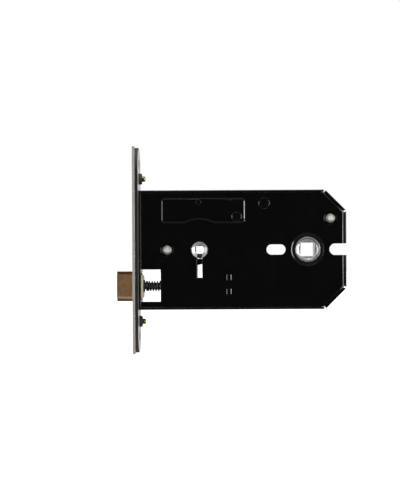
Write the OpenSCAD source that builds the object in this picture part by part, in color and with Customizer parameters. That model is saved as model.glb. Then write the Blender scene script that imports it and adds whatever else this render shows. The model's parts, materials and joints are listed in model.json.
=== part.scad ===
// Horizontal mortise lock: brass faceplate, spring latch, key-thrown deadbolt.
// Origin: centre of the faceplate's front face. +X runs into the door, +Z is up,
// and the removable cap of the case faces -Y.

/* [Case] */
// Depth of the lock from the faceplate's front to the rear of the case
case_depth = 127; // [120:1:150]
// Height of the case
case_height = 71; // [68:0.2:76]
// Thickness of the case over the rims
case_thickness = 17.5; // [17:0.5:20]
// Thickness of the sheet steel of pan and cap
sheet = 1.25; // [1:0.05:1.5]
// Leg of the 45 degree chamfer on both rear corners
rear_chamfer = 12.5; // [10:0.5:14]
// Gap between the inset cap and the rims
cap_gap = 0.25; // [0.1:0.05:0.4]
// How far the cap lies below the edge of the rims
cap_inset = 0.15; // [0:0.05:0.3]

/* [Forend] */
// Width of faceplate and forend
forend_width = 25; // [22:1:28]
// Height of the faceplate
faceplate_height = 123; // [118:1:140]
// Thickness of the brass faceplate
faceplate_t = 1.5; // [1.2:0.1:2]
// Height of the steel forend behind it
forend_height = 122.8; // [118:0.2:140]
// Thickness of the steel forend
forend_t = 1.9; // [1.5:0.1:2.5]
// Distance between the two wood screw holes
wood_screw_spacing = 103; // [98:1:108]
// Diameter of the wood screw holes
wood_screw_d = 5.8; // [4.5:0.1:6]
// Distance between the two faceplate screws
face_screw_spacing = 85.4; // [80:0.2:90]

/* [Bolts] */
// Distance that the key throws the deadbolt
bolt_throw = 14; // [12:0.5:14]
// Height of the deadbolt
bolt_height = 26; // [24:0.5:26]
// Thickness of the deadbolt
bolt_width = 9.35; // [9:0.05:9.5]
// Height of the deadbolt's centre above the keyhole
bolt_z = 18.2; // [18:0.1:18.6]
// Distance that the latch stands out of the faceplate
latch_reach = 10.6; // [8.5:0.1:10.7]
// Depth of the latch's centre line below the keyhole
latch_z = -21.8; // [-22:0.1:-21.5]
// Height of the body of the latch
latch_height = 14.5; // [14:0.1:14.8]

/* [Key and spindle] */
// Distance from the faceplate's front to the keyhole
key_x = 39.7; // [39:0.1:41]
// Distance from the faceplate's front to the spindle
spindle_x = 104; // [103:0.5:105]
// Side of the square spindle hole
spindle_square = 8.1; // [7.8:0.1:8.2]
// Distance of each bolt-through hole from the spindle
through_hole_offset = 19; // [18.8:0.1:19.2]
// Swing of the follower
follower_swing = 41; // [30:1:41]

/* [Levers] */
// Number of levers
lever_count = 3; // [1:1:3]
// Thickness of a lever
lever_t = 1.6; // [1.2:0.1:1.7]
// Distance between neighbouring levers
lever_pitch = 2.4; // [2.3:0.1:2.5]
// Angle that a lever drops from its gate height
lever_drop = 3.5; // [2:0.5:3.5]

/* [Hidden] */
$fn = 64;
eps = 0.5;

// Planes of the case
case_front = faceplate_t + forend_t;
half_t = case_thickness / 2;
half_h = case_height / 2;
cap_near = -half_t + cap_inset;
cap_far = cap_near + sheet;
pan_near = half_t - sheet;
cap_edge = sheet + cap_gap;
chamfer_k = sqrt(2) - 1;

// Openings in both side plates
window_end = 16.5;
window_z = [-30.6, -11.5];
key_hole_r = 4.97;
key_slot_w = 3.2;
shank_hole_r = 2.85;
key_slot_z = -16.8;
through_w = 6.2;
through_slot_x = [spindle_x - through_hole_offset - 5.5, spindle_x - through_hole_offset + 5.8];
notch_w = 6.9;
notch_x = spindle_x + through_hole_offset - 6.1;
hub_r = 7.4;
notch_gap = 0.9;
pan_wider = 0.8;
running_fit = 0.06;
hub_bush_r = 9.3;
hub_bush_step = 0.4;
hub_flare = 0.6;
flare_depth = 0.32;
bush_hole_r = key_hole_r - 0.02;

// Pressed features of the cap
panel_x = [17, 67];
panel_z = [15.8, 30.9];
panel_depth = 0.6;
panel_slope = 1.1;
panel_near = cap_near - panel_depth;
panel_bite_r = 17.9;
screw_dish_r = 4;

// Posts, as [x, z]
front_pillar_at = [20.4, 0];
rear_pillar_at = [117.5, 18.5];
lever_pivot = [78.3, 27.7];
guide_post_at = [61.9, 19.7];
stop_pin_at = [39.2, 28.3];
pillar_r = 3;
tenon_r = 2;
hole_play = 0.08;
post_step = 0.1;
cap_screw_r = 1.5;
lever_post_r = 3.2;
guide_post_r = 2.9;
stop_pin_r = 1.5;

// Deadbolt
bolt_y = [-3.75, -3.75 + bolt_width];
bolt_low = bolt_z - bolt_height / 2;
bolt_high = bolt_z + bolt_height / 2;
bolt_length = 24;
bolt_tail_y = [3, bolt_y[1]];
bolt_tail_x = 16;
bolt_tail_z = [14, 30];
bolt_arm_top = 24.1;
stump_x = 51;
stump_half = 2;
gate_z = 19.5;
rivet_r = 1.5;
rivet_at = [[20, 26.5], [20, 20]];

// Apertures of faceplate, forend and front wall
bolt_aperture_w = 11.5;
bolt_aperture_z = [4.2, bolt_high + 0.2];
latch_aperture_w = 15.5;
latch_aperture_h = 15.9;
latch_ear_w = 2.4;
latch_ear_h = 18.8;

// Latch
latch_half_w = 7.25;
flange_t = 1.3;
flange_h = 18;
collar_end = 6;
washer_t = 0.7;
tail_half_y = 1;
tail_half_z = 2;
tail_z = -21.5;
hook_x = 106.7;
hook_t = 2.4;
hook_top = -10.4;

// Spring of the latch
spring_r = 2.9;
wire_r = 0.4;
spring_pitch = 1.6;
spring_start = collar_end + washer_t + wire_r + 0.05;
guide_x = 57.1;
guide_t = 2.4;
spring_end = guide_x - guide_t / 2 - wire_r - 0.05;

// Follower
arm_length = latch_reach / sin(follower_swing);
arm_tip_r = 2.3;
arm_half_w = 2.1;
flange_r = 10;

// A profile drawn in X and Z, as a plate from y0 to y1
module side_plate(y0, y1) {
    translate([0, y1, 0]) rotate([90, 0, 0]) linear_extrude(y1 - y0) children();
}

// A profile drawn in Y and Z, as a plate from x0 to x1
module front_plate(x0, x1) {
    translate([x0, 0, 0]) rotate([90, 0, 90]) linear_extrude(x1 - x0) children();
}

// A round rod along Y; its two ends may differ in radius
module rod_y(at, y0, y1, r, r_near = undef) {
    near = is_undef(r_near) ? r : r_near;
    translate([at[0], y1, at[1]]) rotate([90, 0, 0]) cylinder(h = y1 - y0, r1 = r, r2 = near);
}

// A round rod along X; its two ends may differ in radius
module rod_x(y, z, x0, x1, r, r_back = undef) {
    back = is_undef(r_back) ? r : r_back;
    translate([x0, y, z]) rotate([0, 90, 0]) cylinder(h = x1 - x0, r1 = r, r2 = back);
}

// A rectangle between two corners
module box_2d(u, v) {
    translate([u[0], v[0]]) square([u[1] - u[0], v[1] - v[0]]);
}

// A rectangle with round corners, made of circles and two bars
module round_box(u, v, r) {
    box_2d([u[0] + r, u[1] - r], v);
    box_2d(u, [v[0] + r, v[1] - r]);
    for (x = [u[0] + r, u[1] - r], y = [v[0] + r, v[1] - r]) translate([x, y]) circle(r);
}

// A slot with round ends between two centres at one height
module obround(x0, x1, z, r) {
    for (x = [x0, x1]) translate([x, z]) circle(r);
    box_2d([x0, x1], [z - r, z + r]);
}

// A four-armed driver recess seen along its axis
module cross_2d(length, width) {
    for (a = [0, 90]) rotate(a) square([length, width], center = true);
}

// The side outline of the case, moved inwards by d
module case_outline(d) {
    h = half_h - d;
    x = case_depth - rear_chamfer - chamfer_k * d;
    z = half_h - rear_chamfer - chamfer_k * d;
    polygon([
        [case_front + d, -h], [x, -h], [case_depth - d, -z],
        [case_depth - d, z], [x, h], [case_front + d, h]
    ]);
}

// The keyhole: a round hole with a straight slot below it
module keyhole_2d() {
    translate([key_x, 0]) circle(key_hole_r);
    box_2d([key_x - key_slot_w / 2, key_x + key_slot_w / 2], [key_slot_z, 0]);
}

// Every opening of a side plate; slot and window may be wider at one end
module side_openings_2d(wider = 0) {
    slot = [through_slot_x[0] + through_w / 2, through_slot_x[1] + wider - through_w / 2];
    box_2d([case_front + sheet, window_end], [window_z[0] - wider, window_z[1]]);
    keyhole_2d();
    obround(slot[0], slot[1], 0, through_w / 2);
    obround(notch_x + notch_w / 2, case_depth + notch_w, 0, notch_w / 2);
    translate([spindle_x, 0]) circle(hub_bush_r);
    for (z = [tail_z - 3.5, tail_z + 5]) {
        box_2d([guide_x - guide_t / 2 - 0.1, guide_x + guide_t / 2 + 0.1], [z - 1.75, z + 1.75]);
    }
}

// The two apertures that the bolts pass through
module bolt_apertures_2d() {
    w = bolt_aperture_w / 2;
    round_box([-w, w], bolt_aperture_z, 0.7);
    v = latch_aperture_w / 2;
    box_2d([-v, v], [latch_z - latch_aperture_h / 2, latch_z + latch_aperture_h / 2]);
    for (u = [-v, v - latch_ear_w]) {
        box_2d([u, u + latch_ear_w], [latch_z - latch_ear_h / 2, latch_z + latch_ear_h / 2]);
    }
}

// Open notch between two rims at a corner, along the line that halves the corner
module corner_notch(x, z, angle) {
    translate([x, 0, z]) rotate([0, -angle, 0]) {
        cube([4 * sheet, case_thickness + 2 * eps, notch_gap], center = true);
    }
}

// Folded steel pan: far plate, front wall, and rims with open mitres at the corners
module case_pan() {
    mitre = 0.6;
    color([0.05, 0.05, 0.05]) difference() {
        side_plate(-half_t, half_t) case_outline(0);
        side_plate(-half_t - eps, pan_near) case_outline(sheet);
        side_plate(pan_near - eps, half_t + eps) side_openings_2d(pan_wider);
        side_plate(-half_t - eps, half_t + eps) {
            obround(notch_x + notch_w / 2, case_depth + notch_w, 0, notch_w / 2);
        }
        front_plate(case_front - eps, case_front + sheet + eps) bolt_apertures_2d();
        for (s = [-1, 1]) {
            corner_notch(case_depth - rear_chamfer, s * half_h, s * 67.5);
            corner_notch(case_depth, s * (half_h - rear_chamfer), s * 22.5);
            translate([case_front + sheet + mitre / 2, 0, s * half_h]) {
                cube([mitre, 2 * pan_near, 3 * sheet], center = true);
            }
        }
        for (at = [front_pillar_at, rear_pillar_at, lever_pivot, guide_post_at]) {
            rod_y(at, pan_near - eps, half_t + eps, tenon_r + 0.01);
        }
    }
}

// The panel that is pressed outwards over the bolt, on a base at y, with room for the key
module pressed_panel(y) {
    key_at = [key_x, 0];
    difference() {
        hull() {
            side_plate(y - 0.01, y) round_box(panel_x, panel_z, 2, $fn = 32);
            side_plate(y - panel_depth, y - panel_depth + 0.01) {
                round_box([panel_x[0] + panel_slope, panel_x[1] - panel_slope],
                          [panel_z[0] + panel_slope, panel_z[1] - panel_slope], 1.2, $fn = 32);
            }
        }
        rod_y(key_at, y - panel_depth - 0.01, y + 0.01, panel_bite_r, panel_bite_r + panel_slope);
    }
}

// Flat cap that lies inside the rims, with its pressed panel, the flare of the follower's
// hole and the dishes of its screws
module case_cap() {
    color([0.06, 0.06, 0.06]) difference() {
        union() {
            side_plate(cap_near, cap_far) case_outline(cap_edge);
            pressed_panel(cap_near + 0.02);
        }
        pressed_panel(cap_far + 0.001);
        for (at = [front_pillar_at, rear_pillar_at]) {
            rod_y(at, cap_near - 0.001, cap_near + 0.5, screw_dish_r - 0.7, screw_dish_r);
            rod_y(at, cap_near, cap_far + eps, cap_screw_r + 0.15);
        }
        rod_y([spindle_x, 0], cap_near - 0.001, cap_near + flare_depth,
              hub_bush_r, hub_bush_r + hub_flare);
        side_plate(panel_near - eps, cap_far + eps) {
            side_openings_2d();
            box_2d([case_front, case_front + 3], window_z);
            translate(lever_pivot) circle(lever_post_r + hole_play);
            translate(guide_post_at) circle(guide_post_r + hole_play);
            translate(stop_pin_at) circle(stop_pin_r + 0.01);
        }
    }
}

// Steel forend with round ends, wood screw holes and two extruded thread bosses
module inner_forend() {
    end_r = forend_width / 2;
    end_z = forend_height / 2 - end_r;
    color([0.72, 0.72, 0.73]) difference() {
        union() {
            front_plate(faceplate_t, case_front) {
                box_2d([-end_r, end_r], [-end_z, end_z]);
                for (s = [-1, 1]) translate([0, s * end_z]) circle(end_r, $fn = 128);
            }
            for (s = [-1, 1]) {
                z = s * face_screw_spacing / 2;
                rod_x(0, z, case_front - 0.1, case_front + 1.8, 3.5, 3.1);
            }
        }
        front_plate(faceplate_t - eps, case_front + eps) {
            bolt_apertures_2d();
            for (s = [-1, 1]) translate([0, s * wood_screw_spacing / 2]) circle(d = wood_screw_d);
        }
        for (s = [-1, 1]) rod_x(0, s * face_screw_spacing / 2, 0, case_front + 3, 1.7);
    }
}

// Brass faceplate with the two bolt apertures and two countersunk holes
module outer_faceplate() {
    w = forend_width / 2;
    h = faceplate_height / 2;
    color([0.93, 0.8, 0.5]) difference() {
        front_plate(0, faceplate_t) box_2d([-w, w], [-h, h]);
        front_plate(-eps, faceplate_t + eps) bolt_apertures_2d();
        for (s = [-1, 1]) {
            z = s * face_screw_spacing / 2;
            rod_x(0, z, -0.001, faceplate_t + 0.001, 3.9, 2.4);
        }
    }
}

// Two countersunk cross-recess machine screws that hold the faceplate
module faceplate_screws() {
    color([0.85, 0.7, 0.4]) for (s = [-1, 1]) translate([0, 0, s * face_screw_spacing / 2]) {
        difference() {
            union() {
                rod_x(0, 0, 0.3, 1.55, 3.15, 1.65);
                rod_x(0, 0, 1.5, 6.6, 1.65);
                rod_x(0, 0, 6.6, 7.2, 1.65, 1.1);
            }
            front_plate(0, 1.3) rotate(-15) cross_2d(3.8, 0.8);
        }
    }
}

// Two domed cross-recess screws that hold the cap to the pillars
module cap_screws() {
    head_r = 2.8;
    head_h = 1.15;
    dome_r = (head_r * head_r + head_h * head_h) / (2 * head_h);
    seat = cap_near + 0.5;
    color([0.8, 0.8, 0.8]) for (at = [front_pillar_at, rear_pillar_at]) difference() {
        union() {
            intersection() {
                translate([at[0], seat - head_h + dome_r, at[1]]) sphere(dome_r);
                rod_y(at, seat - 2 * head_h, seat, head_r + 1);
            }
            rod_y(at, seat - 0.1, 2, cap_screw_r);
        }
        translate([at[0], 0, at[1]]) side_plate(seat - 2 * head_h, seat - 0.45) {
            rotate(20) cross_2d(2.9, 0.7);
        }
    }
}

// A pillar between the plates, riveted into the pan and threaded for a cap screw
module pillar(at) {
    color([0.6, 0.6, 0.6]) difference() {
        union() {
            rod_y(at, cap_far, pan_near, pillar_r);
            rod_y(at, pan_near - 0.1, half_t, tenon_r);
        }
        rod_y(at, cap_far - eps, 2.5, cap_screw_r + 0.02);
    }
}

module front_pillar() { pillar(front_pillar_at); }
module rear_pillar() { pillar(rear_pillar_at); }

// A plain post, riveted into the pan; its other end lies in a hole of the cap, at y0
module post(at, r, y0) {
    color([0.08, 0.08, 0.08]) union() {
        rod_y(at, y0, pan_near, r);
        rod_y(at, pan_near - 0.1, half_t, tenon_r);
    }
}

module lever_pivot_post() { post(lever_pivot, lever_post_r, cap_near + post_step); }
module bolt_guide_post() { post(guide_post_at, guide_post_r, panel_near + post_step); }

// Short pin that is pressed into the cap and limits the lift of the levers
module lever_stop_pin() {
    color([0.08, 0.08, 0.08]) rod_y(stop_pin_at, panel_near + post_step, 2.6, stop_pin_r);
}

// Near and far face of lever number n
function lever_near(n) = 0.9 - (n - 1) * lever_pitch;
function lever_far(n) = lever_near(n) + lever_t;

// Washers that keep the levers apart on the pivot post
module lever_washers() {
    play = 0.05;
    last = lever_near(lever_count);
    spans = concat(
        [[lever_far(1) + play, lever_far(1) + 0.4]],
        [for (n = [1:1:lever_count - 1]) [lever_far(n + 1) + play, lever_near(n) - play]],
        [[cap_far + 0.02, last - play]]
    );
    color([0.75, 0.6, 0.35]) for (s = spans) difference() {
        rod_y(lever_pivot, s[0], s[1], 4.5);
        rod_y(lever_pivot, s[0] - eps, s[1] + eps, lever_post_r + 0.02);
    }
}

// Bright funnel in the cap's keyhole that leads the key's shank in, open at the slot
module keyhole_bush_near() {
    at = [key_x, 0];
    y = cap_near + 0.3;
    color([0.85, 0.85, 0.85]) difference() {
        rod_y(at, y, cap_far + 1.5, bush_hole_r);
        rod_y(at, y - 0.001, y + 1.1, shank_hole_r, key_hole_r - 0.2);
        side_plate(y, cap_far + 1.5 + eps) {
            translate(at) circle(shank_hole_r);
            translate(at) box_2d([-key_slot_w / 2, key_slot_w / 2], [-6, 0]);
        }
    }
}

// Disc in the pan's keyhole with a square window for the shank of the key
module keyhole_bush_far() {
    y = [pan_near - 2.5, half_t - 0.2];
    color([0.88, 0.88, 0.88]) translate([key_x, 0, 0]) difference() {
        union() {
            side_plate(y[0], y[1]) circle(bush_hole_r);
            side_plate(y[0], y[1]) {
                polygon([[-1.55, -3], [1.55, -3], [1.55, -4.6], [0, -5.3], [-1.55, -4.6]]);
            }
        }
        side_plate(y[0] - eps, y[1] + eps) round_box([-2.5, 2.5], [-2.35, 2.35], 0.7);
    }
}

// Fixed ward across the upper end of the key slot
module key_ward() {
    color([0.1, 0.1, 0.1]) side_plate(pan_near - 2.5, pan_near) translate([key_x, 0]) {
        polygon([[-3.5, -5.35], [3.5, -5.35], [3.5, -7.9], [-3.5, -9.7]]);
    }
}

// Bracket that guides the latch tail and takes the push of the latch spring
module latch_tail_guide() {
    x = [guide_x - guide_t / 2, guide_x + guide_t / 2];
    color([0.1, 0.1, 0.1]) difference() {
        union() {
            side_plate(cap_far, pan_near) box_2d(x, [-27, -14.6]);
            side_plate(cap_near, half_t) {
                for (z = [tail_z - 3.5, tail_z + 5]) box_2d(x, [z - 1.65, z + 1.65]);
            }
        }
        front_plate(x[0] - eps, x[1] + eps) {
            box_2d([-tail_half_y - 0.3, tail_half_y + 0.3],
                   [tail_z - tail_half_z - 0.3, tail_z + tail_half_z + 0.3]);
        }
    }
}

// Helical compression spring of the latch, swept along its coil
module latch_spring() {
    sides = 4;
    steps = 8;
    length = spring_end - spring_start;
    turns = length / spring_pitch;
    rings = floor(turns * steps);
    function ring_point(i, k) =
        let (a = 360 * i / steps, b = 360 * (k + 0.5) / sides, r = spring_r + wire_r * cos(b))
        [spring_start + length * i / rings + wire_r * sin(b), r * cos(a), tail_z + r * sin(a)];
    points = [for (i = [0:rings], k = [0:sides - 1]) ring_point(i, k)];
    walls = [
        for (i = [0:rings - 1], k = [0:sides - 1])
        let (n = (k + 1) % sides, a = i * sides, b = a + sides)
        each [[a + k, a + n, b + n], [a + k, b + n, b + k]]
    ];
    ends = [
        [for (k = [sides - 1:-1:0]) k],
        [for (k = [0:sides - 1]) rings * sides + k]
    ];
    color([0.3, 0.3, 0.32]) polyhedron(points, concat(walls, ends));
}

// Pin that the follower's arm rests against
module follower_stop_pin() {
    color([0.6, 0.6, 0.6]) rod_y([spindle_x - 4.6, -13], -5, pan_near, 1.8);
}

// Black bushes in both plates, in which the follower turns
module follower_bush(y0, y1) {
    at = [spindle_x, 0];
    color([0.03, 0.03, 0.03]) difference() {
        rod_y(at, y0, y1, hub_bush_r - 0.01);
        rod_y(at, y0 - eps, y1 + eps, hub_r + running_fit);
    }
}

module follower_bush_near() { follower_bush(cap_near + hub_bush_step, cap_far + 0.8); }
module follower_bush_far() { follower_bush(pan_near - 0.8, half_t - hub_bush_step); }

// Follower: dished hub with the square spindle hole, and the arm that draws the latch
module follower() {
    at = [spindle_x, 0];
    dish_r = [5.2, 6.9];
    color([0.8, 0.8, 0.8]) difference() {
        union() {
            rod_y(at, cap_near + 0.05, half_t - 0.05, hub_r);
            rod_y(at, cap_far + 0.9, pan_near - 0.9, flange_r);
            side_plate(-2, 2) translate(at) {
                box_2d([-arm_half_w, arm_half_w], [-arm_length, 0]);
                translate([0, -arm_length]) circle(arm_tip_r);
            }
        }
        side_plate(-half_t - eps, half_t + eps) translate(at) square(spindle_square, center = true);
        rod_y(at, cap_near + 0.049, cap_near + 0.95, dish_r[0], dish_r[1]);
        rod_y(at, half_t - 0.95, half_t - 0.049, dish_r[1], dish_r[0]);
    }
}

// Brass latch head: bevelled nose, far flange, and the collar behind the forend
module latch_head() {
    low = latch_z - latch_height / 2;
    high = latch_z + latch_height / 2;
    body_far = latch_half_w - flange_t;
    color([0.62, 0.5, 0.3]) difference() {
        union() {
            translate([0, 0, low]) linear_extrude(latch_height) polygon([
                [collar_end, -latch_half_w + 1], [collar_end - 1, -latch_half_w],
                [-0.6, -latch_half_w], [-latch_reach, body_far - 1.8], [-latch_reach, body_far],
                [collar_end, body_far]
            ]);
            translate([-latch_reach, body_far - 0.1, latch_z - flange_h / 2]) {
                cube([latch_reach + 2.8, flange_t + 0.1, flange_h]);
            }
        }
        for (s = [-1, 1]) translate([collar_end, 0, latch_z + s * latch_height / 2]) {
            rotate([0, 45, 0]) cube([1.4, 20, 1.4], center = true);
        }
        front_plate(0.8, collar_end + eps) {
            box_2d([-tail_half_y - 0.02, tail_half_y + 0.02],
                   [tail_z - tail_half_z - 0.02, tail_z + tail_half_z + 0.02]);
        }
        rod_y([3, tail_z], -latch_half_w - eps, latch_half_w + eps, 1.02);
    }
}

// Steel tail of the latch with the upright hook behind the follower's arm
module latch_tail() {
    low = tail_z - tail_half_z;
    high = tail_z + tail_half_z;
    color([0.6, 0.6, 0.62]) difference() {
        side_plate(-tail_half_y, tail_half_y) {
            box_2d([1, hook_x + hook_t], [low, high]);
            box_2d([hook_x, hook_x + hook_t], [low, hook_top]);
        }
        rod_y([3, tail_z], -5, 5, 1.02);
    }
}

// Pin that joins the latch head to its tail
module latch_cross_pin() {
    color([0.7, 0.7, 0.7]) rod_y([3, tail_z], -latch_half_w + 0.3, latch_half_w - flange_t, 1);
}

// Washer between the latch head and the spring
module latch_spring_washer() {
    color([0.25, 0.18, 0.12]) difference() {
        rod_x(0, tail_z, collar_end, collar_end + washer_t, 3.7);
        front_plate(collar_end - eps, collar_end + washer_t + eps) {
            box_2d([-tail_half_y - 0.02, tail_half_y + 0.02],
                   [tail_z - tail_half_z - 0.02, tail_z + tail_half_z + 0.02]);
        }
    }
}

// Brass head of the deadbolt, relieved for the swing of the key
module deadbolt_head() {
    color([0.8, 0.66, 0.42]) difference() {
        translate([0, bolt_y[0], bolt_low]) cube([bolt_length, bolt_width, bolt_height]);
        rod_y([key_x, 0], bolt_y[0] - eps, bolt_y[1] + eps, 18);
        translate([bolt_tail_x, bolt_tail_y[0] - 0.02, bolt_tail_z[0] - 0.02]) {
            cube([20, 10, bolt_high]);
        }
        rod_x(1.3, 25, -eps, 15, 2.05);
        rod_x(1.7, 10.5, -eps, 15, 1.6);
        for (at = rivet_at) rod_y(at, -1, 10, rivet_r + 0.01);
    }
}

// Steel tail of the deadbolt: talon for the key and slot for the guide post
module deadbolt_tail() {
    post_x = guide_post_at[0];
    play = 0.35;
    slot_r = guide_post_r + 0.15;
    color([0.58, 0.58, 0.6]) difference() {
        side_plate(bolt_tail_y[0], bolt_tail_y[1]) difference() {
            union() {
                box_2d([bolt_tail_x + 0.02, 57], bolt_tail_z);
                box_2d([50, 83], [bolt_tail_z[0], bolt_arm_top]);
            }
            obround(post_x - play, post_x + bolt_throw + play, guide_post_at[1], slot_r);
            translate([key_x + bolt_throw / 2, bolt_tail_z[0]]) {
                polygon([[-3.6, -1], [3.6, -1], [2.4, 3.3], [-2.4, 3.3]]);
            }
            for (at = rivet_at) translate(at) circle(rivet_r + 0.01);
            translate([stump_x, gate_z]) square(2 * stump_half - 0.98, center = true);
        }
    }
}

// Two rivets that hold the tail to the head
module deadbolt_rivets() {
    color([0.7, 0.7, 0.7]) for (at = rivet_at) rod_y(at, -0.9, bolt_y[1] - 0.02, rivet_r);
}

// Two hardened rods set in the head of the deadbolt
module deadbolt_pins() {
    color([0.75, 0.75, 0.78]) {
        rod_x(1.3, 25, 0.4, 14.9, 1.75);
        rod_x(1.7, 10.5, 0.4, 14.9, 1.3);
    }
}

// Square stump on the deadbolt's tail that passes through the gates of the levers
module bolt_stump() {
    near = lever_near(lever_count) - 0.5;
    color([0.7, 0.7, 0.7]) union() {
        side_plate(near, bolt_tail_y[0]) {
            translate([stump_x, gate_z]) square(2 * stump_half, center = true);
        }
        side_plate(bolt_tail_y[0] - 0.1, bolt_tail_y[1] - 0.02) {
            translate([stump_x, gate_z]) square(2 * stump_half - 1, center = true);
        }
    }
}

// A lever: pivot hub, arm over the guide post, and a body with two pockets and a gate
module lever(n) {
    gate_half = stump_half + 0.3;
    drop_rear = (lever_pivot[0] - stump_x) * tan(lever_drop) + 0.5;
    drop_front = (lever_pivot[0] - stump_x + bolt_throw) * tan(lever_drop) + 0.5;
    rear = [stump_x - 2.7, stump_x + 2.7];
    front = [rear[0] - bolt_throw, rear[1] - bolt_throw - 2];
    color([0.78, 0.62, 0.36]) side_plate(lever_near(n), lever_far(n)) difference() {
        union() {
            translate(lever_pivot) circle(4.6);
            box_2d([52, lever_pivot[0]], [24.4, 30.6]);
            box_2d([30, 56], [15.5, 26.4]);
            polygon([[33, 15.6], [35.5, 13.8], [44, 13.8], [46.5 + n, 15.6]]);
        }
        translate(lever_pivot) circle(lever_post_r + running_fit);
        box_2d([front[0], rear[1]], [gate_z - gate_half, gate_z + gate_half]);
        box_2d(rear, [gate_z - gate_half, gate_z + stump_half + drop_rear]);
        box_2d([front[0], front[1] + 2], [gate_z - gate_half, gate_z + stump_half + drop_front]);
    }
}

module lever_1() { lever(1); }
module lever_2() { lever(2); }
module lever_3() { lever(3); }

// A bent strip spring on the top edge of a lever, reaching for the top rim
module lever_spring(n) {
    steps = 12;
    root = [66, 30.6];
    tip = [36, half_h - sheet - 0.45];
    t = 0.4;
    function rise(u) = root[1] + (tip[1] - root[1]) * sin(90 * u);
    upper = [for (i = [0:steps]) [root[0] + (tip[0] - root[0]) * i / steps, rise(i / steps) + t]];
    lower = [for (i = [steps:-1:0]) [root[0] + (tip[0] - root[0]) * i / steps, rise(i / steps)]];
    mid = lever_near(n) + lever_t / 2;
    color([0.35, 0.35, 0.38]) side_plate(mid - 0.6, mid + 0.6) polygon(concat(upper, lower));
}

module lever_spring_1() { lever_spring(1); }
module lever_spring_2() { lever_spring(2); }
module lever_spring_3() { lever_spring(3); }

case_pan();
case_cap();
inner_forend();
outer_faceplate();
faceplate_screws();
cap_screws();
front_pillar();
rear_pillar();
lever_pivot_post();
bolt_guide_post();
lever_stop_pin();
lever_washers();
keyhole_bush_near();
keyhole_bush_far();
key_ward();
latch_tail_guide();
latch_spring();
follower_stop_pin();
follower_bush_near();
follower_bush_far();
follower();
latch_head();
latch_tail();
latch_cross_pin();
latch_spring_washer();
deadbolt_head();
deadbolt_tail();
deadbolt_rivets();
deadbolt_pins();
bolt_stump();
lever_1();
lever_2();
lever_3();
lever_spring_1();
lever_spring_2();
lever_spring_3();
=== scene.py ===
import json
import math

import bmesh
import bpy
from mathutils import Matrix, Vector

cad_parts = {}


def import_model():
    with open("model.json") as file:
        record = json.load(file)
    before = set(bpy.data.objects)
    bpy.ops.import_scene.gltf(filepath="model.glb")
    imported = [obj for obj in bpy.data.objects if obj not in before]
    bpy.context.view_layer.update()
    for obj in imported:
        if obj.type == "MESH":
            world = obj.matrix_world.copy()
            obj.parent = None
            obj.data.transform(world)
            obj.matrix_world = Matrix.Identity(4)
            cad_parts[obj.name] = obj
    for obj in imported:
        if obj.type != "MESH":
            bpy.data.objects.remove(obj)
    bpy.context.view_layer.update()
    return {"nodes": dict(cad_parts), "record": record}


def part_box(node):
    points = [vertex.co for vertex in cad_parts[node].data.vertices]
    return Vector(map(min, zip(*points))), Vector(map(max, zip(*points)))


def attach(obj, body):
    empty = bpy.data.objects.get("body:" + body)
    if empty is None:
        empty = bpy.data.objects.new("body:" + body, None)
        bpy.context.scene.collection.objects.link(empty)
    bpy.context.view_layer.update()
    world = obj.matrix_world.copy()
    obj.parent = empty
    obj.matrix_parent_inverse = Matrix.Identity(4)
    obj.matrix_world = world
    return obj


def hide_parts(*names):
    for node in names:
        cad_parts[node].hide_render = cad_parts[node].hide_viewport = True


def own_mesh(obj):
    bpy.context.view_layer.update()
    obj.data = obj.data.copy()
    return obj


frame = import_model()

MM = 0.001
NODES = frame["nodes"]
RECORD = frame["record"]
BODY_OF = {n: b for b, members in RECORD["behaviour"]["bodies"].items() for n in members}
SLOT_OF = {row["node"]: row["material_slot"] for row in RECORD["subparts"]}

# How a CAD mesh is read: points this close, in millimetres, are one; faces this alike are one;
# an edge may be rounded, or shaded sharp, from these angles on, in degrees.
SAME_POINT = 0.0005
SAME_FACE = 0.6
ROUNDED_FROM = 12
SHARP_FROM = 38

# The camera stands on the cap's side, a little to the front of the case's middle.
CAMERA_PLACE = (0.0584, -0.7836, -0.00015)
CAMERA_ROLL = 0.3
CAMERA_LENS = 93.94
CAMERA_SHIFT = -0.062

FLOOR_HEIGHT = -0.35
FLOOR_REACH = 20.0

# Place and size of each light in metres, and its radiance.
SOFTBOXES = {
    "left_box": ((-1.22, -0.60, 0.0), (0.6, 1.2), 5.0),
    "right_box": ((1.34, -0.60, 0.0), (0.6, 1.2), 14.0),
    "top_box": ((0.06, -0.3, 1.4), (1.4, 0.8), 3.5),
}

# How bright the room is by the Y of a direction; -1 is straight out from the cap.
ROOM = ((-1.0, 0.05), (-0.93, 0.06), (-0.75, 0.22), (-0.45, 0.35),
        (-0.2, 0.55), (0.0, 0.55), (0.09, 0.2), (0.96, 0.7))
# Straight out from the faceplate, between these X of a direction, it grows brighter.
ROOM_FRONT = (-0.95, -0.985)
ROOM_FRONT_GAIN = 2.3


def box_mm(node):
    """A node's lowest and highest corner, in millimetres."""
    low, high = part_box(node)
    return Vector(low) / MM, Vector(high) / MM


def middle_mm(node):
    low, high = box_mm(node)
    return (low + high) / 2


def colour_ramp(tree, value, stops):
    """Colours or grey levels along a value; each stop is (position, colour or level)."""
    node = tree.nodes.new("ShaderNodeValToRGB")
    elements = node.color_ramp.elements
    while len(elements) < len(stops):
        elements.new(0.5)
    for element, (position, colour) in zip(elements, stops):
        element.position = position
        rgb = colour if isinstance(colour, tuple) else (colour,) * 3
        element.color = (*rgb, 1.0)
    tree.links.new(value, node.inputs["Fac"])
    return node.outputs["Color"]


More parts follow.
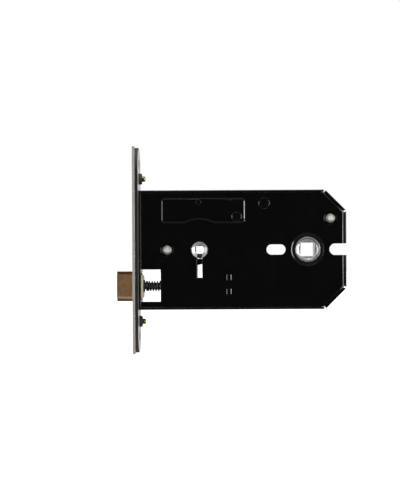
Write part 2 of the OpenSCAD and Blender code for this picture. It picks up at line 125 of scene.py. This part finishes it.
def map_range(tree, value, start, end, low, high):
    """A value between start and end, turned into one from low to high and held there."""
    node = tree.nodes.new("ShaderNodeMapRange")
    limits = {"From Min": start, "From Max": end, "To Min": low, "To Max": high}
    for name, number in limits.items():
        node.inputs[name].default_value = number
    tree.links.new(value, node.inputs["Value"])
    return node.outputs["Result"]


# ---------------------------------------------------------------- materials

# The cap screws sit in line with these, in the dishes of the cap.
CAP_SCREW_PILLARS = ("front_pillar", "rear_pillar")


class Shader:
    """A node material around one Principled shader, with short calls for its textures."""

    def __init__(self, name):
        self.material = bpy.data.materials.new(name)
        self.material.use_nodes = True
        self.tree = self.material.node_tree
        self.bsdf = next(n for n in self.tree.nodes if n.type == "BSDF_PRINCIPLED")
        self.place = self.tree.nodes.new("ShaderNodeTexCoord")

    def link(self, a, b):
        self.tree.links.new(a, b)

    def give(self, socket, value):
        """Links a socket to another, or sets its own value."""
        if isinstance(value, bpy.types.NodeSocket):
            self.link(value, socket)
        elif isinstance(value, tuple):
            socket.default_value = (*value, 1.0)
        else:
            socket.default_value = value

    def scaled(self, x, y, z):
        """Object coordinates, with so many units to the millimetre along each axis."""
        mapping = self.tree.nodes.new("ShaderNodeMapping")
        mapping.inputs["Scale"].default_value = (x / MM, y / MM, z / MM)
        self.link(self.place.outputs["Object"], mapping.inputs["Vector"])
        return mapping.outputs["Vector"]

    def noise(self, scale, detail=3.0, roughness=0.55):
        """Noise whose cells are scale units to the millimetre, alike or by axis."""
        by_axis = scale if isinstance(scale, tuple) else (scale,) * 3
        node = self.tree.nodes.new("ShaderNodeTexNoise")
        node.inputs["Scale"].default_value = 1.0
        node.inputs["Detail"].default_value = detail
        node.inputs["Roughness"].default_value = roughness
        self.link(self.scaled(*by_axis), node.inputs["Vector"])
        return node.outputs["Fac"]

    def radius(self, *nodes):
        """The distance in metres from a line along Y through the nearest of some CAD nodes."""
        nearest = 1.0
        for middle in map(middle_mm, nodes):
            x = self.maths("SUBTRACT", self.axis_of("Object", 0), middle.x * MM)
            z = self.maths("SUBTRACT", self.axis_of("Object", 2), middle.z * MM)
            square = self.maths("ADD", self.maths("MULTIPLY", x, x),
                                self.maths("MULTIPLY", z, z))
            nearest = self.maths("MINIMUM", self.maths("SQRT", square), nearest)
        return nearest

    def circles(self, node, scale):
        """Noise in circles about the middle of a CAD node, scale of them to the millimetre."""
        noise = self.tree.nodes.new("ShaderNodeTexNoise")
        noise.noise_dimensions = "1D"
        noise.inputs["Scale"].default_value = scale / MM
        noise.inputs["Detail"].default_value = 1.0
        self.link(self.radius(node), noise.inputs["W"])
        return noise.outputs["Fac"]

    def within(self, start, end, *nodes):
        """A share that falls from 1 to 0 between two distances from nodes, in millimetres."""
        return self.range(self.radius(*nodes), start * MM, end * MM, 1.0, 0.0)

    def ramp(self, value, *stops):
        return colour_ramp(self.tree, value, stops)

    def range(self, value, start, end, low, high):
        return map_range(self.tree, value, start, end, low, high)

    def spread(self, value, low, high):
        """Noise, which mostly lies from 0.3 to 0.7, spread from low to high."""
        return self.range(value, 0.3, 0.7, low, high)

    def mix(self, share, a, b):
        node = self.tree.nodes.new("ShaderNodeMix")
        node.data_type = "RGBA"
        self.give(node.inputs[0], share)
        self.give(node.inputs[6], a)
        self.give(node.inputs[7], b)
        return node.outputs[2]

    def maths(self, operation, a, b=0.0):
        node = self.tree.nodes.new("ShaderNodeMath")
        node.operation = operation
        self.give(node.inputs[0], a)
        self.give(node.inputs[1], b)
        return node.outputs[0]

    def axis_of(self, output, axis):
        """One axis of an object-space vector: its Normal, or its place in Object."""
        node = self.tree.nodes.new("ShaderNodeSeparateXYZ")
        self.link(self.place.outputs[output], node.inputs[0])
        return node.outputs[axis]

    def beyond(self, axis, start, end):
        """A share that grows from 0 to 1 between two places on an axis, in millimetres."""
        return self.range(self.axis_of("Object", axis), start * MM, end * MM, 0.0, 1.0)

    def facing(self, axis, start=0.5, end=0.8):
        """A share that is 1 where the surface faces along an axis, either way."""
        return self.range(self.maths("ABSOLUTE", self.axis_of("Normal", axis)),
                          start, end, 0.0, 1.0)

    def tint(self, share, colour):
        """Mixes a colour by a share into the base colour that is linked so far."""
        tone = self.bsdf.inputs["Base Color"].links[0].from_socket
        self.set(Base_Color=self.mix(share, tone, colour))

    def scale(self, share, factor):
        return self.maths("MULTIPLY", share, factor)

    def bump(self, height, depth_mm, strength=1.0):
        """Relief of that many millimetres; calls after the first add to it."""
        node = self.tree.nodes.new("ShaderNodeBump")
        node.inputs["Strength"].default_value = strength
        node.inputs["Distance"].default_value = depth_mm * MM
        self.link(height, node.inputs["Height"])
        normal = self.bsdf.inputs["Normal"]
        if normal.links:
            self.link(normal.links[0].from_socket, node.inputs["Normal"])
        self.link(node.outputs["Normal"], normal)

    def set(self, **values):
        for name, value in values.items():
            self.give(self.bsdf.inputs[name.replace("_", " ")], value)


def enamel(name, rough, peel, dull_at=()):
    """Stoved black enamel: near black, softly glossy, with a faint orange peel.

    It is dull in the screw dishes round the nodes named in dull_at.
    """
    s = Shader(name)
    tone = s.ramp(s.noise(0.08), (0.3, (0.0005, 0.0005, 0.0006)),
                  (0.7, (0.0012, 0.0011, 0.0010)))
    s.set(Base_Color=tone, Roughness=s.spread(s.noise(0.22, 4.0), *rough))
    s.set(Specular_IOR_Level=0.5)
    if dull_at:
        dull = s.within(3.9, 4.3, *dull_at)
        s.set(Specular_IOR_Level=s.range(dull, 0.0, 1.0, 0.5, 0.05))
    s.bump(s.noise(0.9, 2.0), peel)
    s.bump(s.noise(6.0, 1.0), 0.15 * peel)
    return s.material


def nylon():
    """Moulded black nylon: matt, with a fine even grain."""
    s = Shader("bush_nylon")
    tone = s.ramp(s.noise(1.2), (0.3, (0.0012, 0.0012, 0.0013)),
                  (0.7, (0.0028, 0.0028, 0.0028)))
    s.set(Base_Color=tone, Roughness=s.spread(s.noise(3.0), 0.45, 0.6))
    s.set(Specular_IOR_Level=0.2)
    s.bump(s.noise(7.0, 2.0), 0.006)
    return s.material


def metal(name, dark, light, rough, grain=(0.5, 0.5, 0.5), relief=0.002, patch=0.15, wear=0.0):
    """A metal with patches of two tones and a grain that shows in roughness and relief."""
    s = Shader(name)
    tone = s.ramp(s.noise(patch, 4.0), (0.32, dark), (0.68, light))
    fine = s.noise(grain, 5.0, 0.65)
    if wear:
        tone = s.mix(s.spread(fine, 0.0, wear), tone, tuple(0.5 * c for c in dark))
    s.set(Base_Color=tone, Metallic=1.0, Roughness=s.spread(fine, *rough))
    s.bump(fine, relief)
    return s


def faceplate_brass():
    """Polished brass, finely linished along its height; its edges that face along Y are painted
    pale grey and mostly matt, a painted sheen for the light they catch.
    """
    s = metal("polished_brass", (0.83, 0.64, 0.35), (0.90, 0.72, 0.42), (0.16, 0.26),
              grain=(9.0, 9.0, 0.25), relief=0.0012, patch=0.04)
    # Painted sheen: the edges facing along Y get a pale grey, mostly matt colour for the light
    # they catch.
    edge = s.facing(1, 0.55, 0.75)
    s.tint(edge, (0.46, 0.43, 0.40))
    s.set(Metallic=s.maths("SUBTRACT", 1.0, s.scale(edge, 0.75)))
    return s.material


def latch_brass():
    """Cast brass of the latch: brown, mottled, darker at the nose and paler at its foot, and
    painted dark behind the forend as shade.
    """
    s = metal("latch_brass", (0.175, 0.083, 0.029), (0.265, 0.131, 0.046), (0.24, 0.38),
              grain=(1.6, 5.0, 0.35), relief=0.004, patch=0.28, wear=0.35)
    corner = box_mm("latch_head")[0]
    nose = s.beyond(0, corner.x + 1.4, corner.x + 0.7)
    s.tint(s.scale(nose, 0.4), (0.07, 0.045, 0.025))
    foot = s.beyond(2, corner.z + 3.6, corner.z + 2.4)
    s.tint(s.scale(foot, 0.25), (0.80, 0.68, 0.48))
    # Painted shade: behind the forend the collar is tinted dark olive for the shadow it lies in.
    shade_behind_forend = s.beyond(0, 3.0, 3.2)
    s.tint(shade_behind_forend, (0.22, 0.19, 0.12))
    s.set(Metallic=0.5)
    return s.material


def deadbolt_brass():
    """Cast brass of the deadbolt, brushed along its height."""
    s = metal("deadbolt_brass", (0.52, 0.37, 0.19), (0.70, 0.53, 0.30), (0.24, 0.40),
              grain=(1.6, 5.0, 0.30), relief=0.005, patch=0.22, wear=0.3)
    return s.material


def zinc_plate():
    """Bright zinc with faint clouds; the sheared edges are rougher, and they and the two bosses
    are painted near black as shade.
    """
    s = metal("zinc_plate", (0.60, 0.60, 0.62), (0.76, 0.76, 0.77), (0.28, 0.44),
              grain=(2.0, 3.0, 0.5), relief=0.002, patch=0.2, wear=0.12)
    height = s.maths("ABSOLUTE", s.axis_of("Object", 2))
    # The painted edge shade eases a little towards the ends of the plate.
    shade_eased_at_ends = s.range(height, 46 * MM, 52 * MM, 1.0, 0.96)
    sheared = s.maths("MAXIMUM", s.facing(1, 0.3, 0.7), s.facing(2, 0.3, 0.7))
    edge = s.maths("MULTIPLY", sheared, shade_eased_at_ends)
    s.set(Roughness=s.range(edge, 0.0, 1.0, 0.34, 0.6))
    # Painted shade: the edges facing along Y or Z are tinted near black for the dark they show.
    s.tint(edge, (0.014, 0.011, 0.009))
    back = box_mm("case_pan")[0].x
    # Painted shade: the bosses that reach in past the back of the case are tinted near black for
    # the shadow there.
    shaded_boss = s.beyond(0, back + 0.1, back + 0.2)
    s.tint(shaded_boss, (0.004, 0.004, 0.004))
    matt = s.maths("MAXIMUM", shaded_boss, s.scale(edge, 0.6))
    s.set(Metallic=s.maths("SUBTRACT", 1.0, matt))
    return s.material


def silver(name, dark, light, rough, matt):
    """A pale plated metal, of which a share scatters light like a matt one."""
    s = metal(name, dark, light, rough, grain=(1.5, 1.5, 1.5), relief=0.002, patch=0.3,
              wear=0.12)
    s.set(Metallic=1.0 - matt)
    return s


def follower_nickel():
    """Turned nickel with a dark ring painted inside its rim: painted shade of the recess edge.
    """
    s = silver("turned_nickel", (0.50, 0.49, 0.475), (0.65, 0.64, 0.62), (0.24, 0.36), 0.25)
    hub = "follower_bush_near"
    # Painted shade: a ring about 6 to 7 mm out from the hub's middle is tinted dark.
    recess_shade = s.maths("SUBTRACT", s.within(6.7, 7.0, hub), s.within(5.9, 6.3, hub))
    s.tint(s.scale(recess_shade, 0.7), (0.10, 0.10, 0.095))
    s.bump(s.circles(hub, 6.0), 0.03)
    return s.material


def screw_plate():
    """Bright plate, painted dark towards the rim of each domed head and left pale in its middle:
    painted shade and highlight for the light falling off across the dome.
    """
    s = silver("screw_plate", (0.86, 0.84, 0.80), (0.98, 0.96, 0.93), (0.36, 0.48), 0.95)
    # Painted shade: each head darkens from 0.8 to 2 mm out from its middle, leaving a painted
    # highlight in the middle.
    rim = s.maths("SUBTRACT", 0.95, s.scale(s.within(0.8, 2.0, *CAP_SCREW_PILLARS), 0.95))
    s.tint(rim, (0.11, 0.10, 0.088))
    return s.material


def screw_brass():
    """Polished brass of the faceplate screws, brown down in the recess and on the shank."""
    s = metal("screw_brass", (0.80, 0.62, 0.34), (0.88, 0.70, 0.40), (0.16, 0.26),
              grain=(2.0, 2.0, 2.0), relief=0.001, patch=0.5)
    face = box_mm("faceplate_screws")[0].x
    s.tint(s.beyond(0, face + 0.15, face + 0.4), (0.26, 0.17, 0.075))
    return s.material


MATERIALS = {
    "case_black": enamel("black_enamel", (0.14, 0.22), 0.008),
    "black_steel": enamel("black_finish", (0.16, 0.26), 0.012),
    "bush_nylon": nylon(),
    "faceplate_brass": faceplate_brass(),
    "bolt_brass": deadbolt_brass(),
    "lever_brass": metal("lever_brass", (0.60, 0.44, 0.22), (0.72, 0.56, 0.30),
                         (0.28, 0.4)).material,
    "zinc_steel": zinc_plate(),
    "bright_steel": silver("nickel", (0.62, 0.61, 0.59), (0.78, 0.77, 0.75), (0.26, 0.40),
                           0.45).material,
    "plain_steel": metal("plain_steel", (0.36, 0.36, 0.37), (0.50, 0.50, 0.51), (0.28, 0.42),
                         wear=0.2).material,
    "spring_steel": metal("spring_steel", (0.07, 0.07, 0.072), (0.17, 0.17, 0.172),
                          (0.18, 0.26), grain=(3.0, 3.0, 3.0)).material,
}
# Nodes that look different from the rest of their slot.
OWN_MATERIAL = {
    "latch_head": latch_brass(),
    "case_cap": enamel("cap_enamel", (0.14, 0.22), 0.008, dull_at=CAP_SCREW_PILLARS),
    "faceplate_screws": screw_brass(),
    "follower": follower_nickel(),
    "cap_screws": screw_plate(),
    "keyhole_bush_near": silver("bush_rim", (0.37, 0.365, 0.355), (0.48, 0.47, 0.46),
                                (0.3, 0.4), 0.6).material,
    # Painted light: the far bush is near white and matt, for light that hardly reaches it deep
    # in the case.
    "keyhole_bush_far": silver("bush_disc_painted_light", (0.90, 0.90, 0.89), (0.98, 0.98, 0.97),
                               (0.3, 0.4), 0.9).material,
    # Painted shade: the washer is dark brown, for the shadow it lies in behind the latch head.
    "latch_spring_washer": metal("washer", (0.10, 0.06, 0.035), (0.17, 0.11, 0.07),
                                 (0.4, 0.5)).material,
}


# ---------------------------------------------------------------- pieces

def finish_piece(piece, node):
    """Gives a new piece its own material or its slot's, attaches it to its node's body, and
    hides the node, whose place it takes.
    """
    piece.data.materials.clear()
    piece.data.materials.append(OWN_MATERIAL.get(node, MATERIALS[SLOT_OF[node]]))
    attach(piece, BODY_OF[node])
    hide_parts(node)
    return piece


def object_of(name, mesh):
    piece = bpy.data.objects.new(name, mesh)
    bpy.context.scene.collection.objects.link(piece)
    return piece


def baked(piece):
    """The same object with its modifiers applied."""
    graph = bpy.context.evaluated_depsgraph_get()
    mesh = bpy.data.meshes.new_from_object(piece.evaluated_get(graph))
    piece.modifiers.clear()
    piece.data = mesh
    return piece


def soften(node, width_of, segments=3):
    """A copy of a CAD node with merged flat faces and rounded edges.

    width_of(middle, angle) gives the rounding of an edge in millimetres, from the middle of
    the edge in millimetres and the angle in degrees between its two faces.
    """
    bm = bmesh.new()
    bm.from_mesh(NODES[node].data)
    bmesh.ops.remove_doubles(bm, verts=bm.verts, dist=SAME_POINT * MM)
    bmesh.ops.dissolve_limit(bm, angle_limit=math.radians(SAME_FACE), verts=bm.verts[:],
                             edges=bm.edges[:])
    many_sided = [face for face in bm.faces if len(face.verts) > 4]
    bmesh.ops.triangulate(bm, faces=many_sided)
    layer = bm.edges.layers.float.new("bevel_weight_edge")
    widths = {}
    for edge in bm.edges:
        if len(edge.link_faces) == 2:
            middle = (edge.verts[0].co + edge.verts[1].co) / 2 / MM
            angle = math.degrees(edge.calc_face_angle(0.0))
            widths[edge] = width_of(middle, angle) if angle > ROUNDED_FROM else 0.0
    widest = max(widths.values())
    for edge, width in widths.items():
        edge[layer] = width / widest
    mesh = bpy.data.meshes.new(node + "_shape")
    bm.to_mesh(mesh)
    bm.free()
    mesh.shade_smooth()
    mesh.set_sharp_from_angle(angle=math.radians(SHARP_FROM))
    piece = object_of(node + "_shape", mesh)
    bevel = piece.modifiers.new("round", "BEVEL")
    bevel.limit_method = "WEIGHT"
    bevel.width = widest * MM
    bevel.segments = segments
    bevel.use_clamp_overlap = False
    bevel.loop_slide = False
    weigh = piece.modifiers.new("weigh", "WEIGHTED_NORMAL")
    weigh.keep_sharp = True
    weigh.weight = 80
    return finish_piece(baked(piece), node)


def alike(width):
    """Every real edge is rounded alike."""
    return lambda middle, angle: width if angle > 30 else 0.0


def on_outline(node):
    """Two tests of whether a place lies on a plate's outline: on its rear part, on the rest."""
    low, high = box_mm(node)
    corner = max(v.co.x + abs(v.co.z) for v in NODES[node].data.vertices) / MM
    slack = 0.1

    def rear(at):
        return at.x > high.x - slack or at.x + abs(at.z) > corner - slack

    def rest(at):
        return at.x < low.x + slack or abs(at.z) > high.z - slack

    return rear, rest


def cap_edges():
    """The cap's rim is rolled, its pressed creases are soft, and its holes are punched."""
    rear, rest = on_outline("case_cap")
    guide = middle_mm("bolt_guide_post")
    inner_side = 0.5 * (middle_mm("case_pan").y + box_mm("case_cap")[0].y)
    dishes = {"follower_bush_near": 10.2, "front_pillar": 4.2, "rear_pillar": 4.2}
    post_holes = {"lever_pivot_post": 3.5, "bolt_guide_post": 3.2}

    def round_one_of(at, radii):
        """Whether a place lies within the radius given for one of the nodes."""
        for node, radius in radii.items():
            middle = middle_mm(node)
            if math.hypot(at.x - middle.x, at.z - middle.z) < radius:
                return True
        return False

    def width(at, angle):
        steep = angle > 50
        if steep and at.y > inner_side:
            return 0.1
        if rear(at):
            return 0.95 if steep else 0.0
        if rest(at):
            return 0.15 if steep else 0.0
        if round_one_of(at, dishes):
            return 0.12
        if angle < 50:
            by_guide = at.x > guide.x - 7 and at.z < guide.z - 2
            return 0.15 if by_guide else 0.42
        if round_one_of(at, post_holes):
            return 0.2
        return 0.14

    return width


def pan_edges():
    """The far outline is a bend of the sheet; every other edge is cut."""
    rear, rest = on_outline("case_pan")
    low, high = box_mm("case_pan")

    def width(at, angle):
        outer = rear(at) or (rest(at) and at.x > low.x + 1)
        if angle < 60:
            return 0.0
        if outer and at.y > high.y - 0.05:
            return 0.8
        if outer:
            return 0.35 if rear(at) else 0.6
        return 0.12

    return width


# How far the edges of each node are rounded, in millimetres.
EDGE_WIDTH = {
    "inner_forend": 0.08, "outer_faceplate": 0.1, "faceplate_screws": 0.05, "cap_screws": 0.08,
    "front_pillar": 0.15, "rear_pillar": 0.15, "lever_pivot_post": 0.35, "bolt_guide_post": 0.4,
    "lever_stop_pin": 0.2, "lever_washers": 0.05, "keyhole_bush_near": 0.12,
    "keyhole_bush_far": 0.1, "key_ward": 0.1, "latch_tail_guide": 0.1, "follower_stop_pin": 0.15,
    "follower_bush_near": 0.1, "follower_bush_far": 0.1,
    "follower": 0.15, "latch_head": 0.08, "latch_tail": 0.1, "latch_cross_pin": 0.1,
    "latch_spring_washer": 0.08, "deadbolt_head": 0.25, "deadbolt_tail": 0.12,
    "deadbolt_rivets": 0.1, "deadbolt_pins": 0.15, "bolt_stump": 0.12,
    "lever_1": 0.06, "lever_2": 0.06, "lever_3": 0.06,
    "lever_spring_1": 0.05, "lever_spring_2": 0.05, "lever_spring_3": 0.05,
}
for node, edge_width in EDGE_WIDTH.items():
    soften(node, alike(edge_width))
soften("case_cap", cap_edges())
soften("case_pan", pan_edges())


def coil_spring():
    """The latch spring as round wire, with two closed turns at each end."""
    low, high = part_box("latch_spring")
    wire = 0.4 * MM
    middle = (low + high) / 2
    radius = (high.z - low.z) / 2 - wire
    start, end = low.x, high.x
    pitch = 1.6 * MM
    closed = 2
    pitch_closed = 2.1 * wire
    open_turns = (end - start - 2 * wire - 2 * closed * pitch_closed) / pitch
    turns = open_turns + 2 * closed
    steps = 24
    sides = 10
    rings = int(turns * steps)

    def along(turn):
        a = min(turn, closed)
        b = min(max(turn - closed, 0.0), open_turns)
        c = max(turn - closed - open_turns, 0.0)
        return start + wire + (a + c) * pitch_closed + b * pitch

    bm = bmesh.new()
    loops = []
    for i in range(rings + 1):
        turn = turns * i / rings
        angle = 2 * math.pi * turn
        out = Vector((0, math.cos(angle), math.sin(angle)))
        centre = Vector((along(turn), middle.y, middle.z)) + radius * out
        loops.append([
            bm.verts.new(centre + wire * (math.cos(t) * out + math.sin(t) * Vector((1, 0, 0))))
            for t in (2 * math.pi * k / sides for k in range(sides))
        ])
    for one, two in zip(loops, loops[1:]):
        for k in range(sides):
            n = (k + 1) % sides
            bm.faces.new((one[k], one[n], two[n], two[k]))
    bm.faces.new(reversed(loops[0]))
    bm.faces.new(loops[-1])
    bmesh.ops.recalc_face_normals(bm, faces=bm.faces[:])
    mesh = bpy.data.meshes.new("latch_spring_coil")
    bm.to_mesh(mesh)
    bm.free()
    mesh.shade_smooth()
    piece = finish_piece(object_of("latch_spring_coil", mesh), "latch_spring")
    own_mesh(piece)


coil_spring()


# ---------------------------------------------------------------- camera, floor and light

def camera():
    lens = bpy.data.cameras.new("camera")
    lens.lens = CAMERA_LENS
    lens.sensor_width = 36.0
    lens.shift_x = CAMERA_SHIFT
    lens.clip_start = 0.01
    holder = bpy.data.objects.new("camera", lens)
    holder.location = CAMERA_PLACE
    holder.rotation_euler = (math.radians(90), math.radians(CAMERA_ROLL), 0)
    bpy.context.scene.collection.objects.link(holder)
    bpy.context.scene.camera = holder


def floor():
    """A plain pale floor, which lights nothing and isn't mirrored in the enamel."""
    plane = object_of("floor", bpy.data.meshes.new("floor"))
    bm = bmesh.new()
    bmesh.ops.create_grid(bm, x_segments=8, y_segments=8, size=FLOOR_REACH)
    bm.to_mesh(plane.data)
    bm.free()
    plane.location.z = FLOOR_HEIGHT
    paper = Shader("floor_paper")
    tone = paper.ramp(paper.noise(0.01), (0.3, (0.86,) * 3), (0.7, (0.90,) * 3))
    paper.set(Base_Color=tone, Roughness=0.9, Emission_Color=(1.0, 1.0, 1.0))
    paper.set(Emission_Strength=1.0)
    plane.data.materials.append(paper.material)
    plane.visible_glossy = False
    plane.visible_diffuse = False


def softbox(name, place, size, radiance):
    """A rectangular light that faces the origin."""
    light = bpy.data.lights.new(name, "AREA")
    light.shape = "RECTANGLE"
    light.size, light.size_y = size
    light.energy = radiance * math.pi * size[0] * size[1]
    lamp = bpy.data.objects.new(name, light)
    lamp.location = place
    lamp.rotation_euler = Vector(place).to_track_quat("Z", "Y").to_euler()
    lamp.visible_camera = False
    bpy.context.scene.collection.objects.link(lamp)


def world():
    """A white backdrop; around the object the room is dim in front and bright at the sides."""
    room = bpy.data.worlds.new("studio")
    bpy.context.scene.world = room
    room.use_nodes = True
    tree = room.node_tree
    tree.nodes.clear()
    direction = tree.nodes.new("ShaderNodeTexCoord")
    split = tree.nodes.new("ShaderNodeSeparateXYZ")
    tree.links.new(direction.outputs["Generated"], split.inputs[0])
    across = map_range(tree, split.outputs["Y"], -1.0, 1.0, 0.0, 1.0)
    level = colour_ramp(tree, across, [((y + 1) / 2, grey) for y, grey in ROOM])
    gain = map_range(tree, split.outputs["X"], *ROOM_FRONT, 1.0, ROOM_FRONT_GAIN)
    around = tree.nodes.new("ShaderNodeBackground")
    tree.links.new(level, around.inputs["Color"])
    tree.links.new(gain, around.inputs["Strength"])
    backdrop = tree.nodes.new("ShaderNodeBackground")
    backdrop.inputs["Color"].default_value = (1.0, 1.0, 1.0, 1.0)
    path = tree.nodes.new("ShaderNodeLightPath")
    choose = tree.nodes.new("ShaderNodeMixShader")
    out = tree.nodes.new("ShaderNodeOutputWorld")
    tree.links.new(path.outputs["Is Camera Ray"], choose.inputs[0])
    tree.links.new(around.outputs[0], choose.inputs[1])
    tree.links.new(backdrop.outputs[0], choose.inputs[2])
    tree.links.new(choose.outputs[0], out.inputs[0])


camera()
floor()
for box_name, (place, size, radiance) in SOFTBOXES.items():
    softbox(box_name, place, size, radiance)
world()
bpy.context.scene.view_settings.view_transform = "Standard"
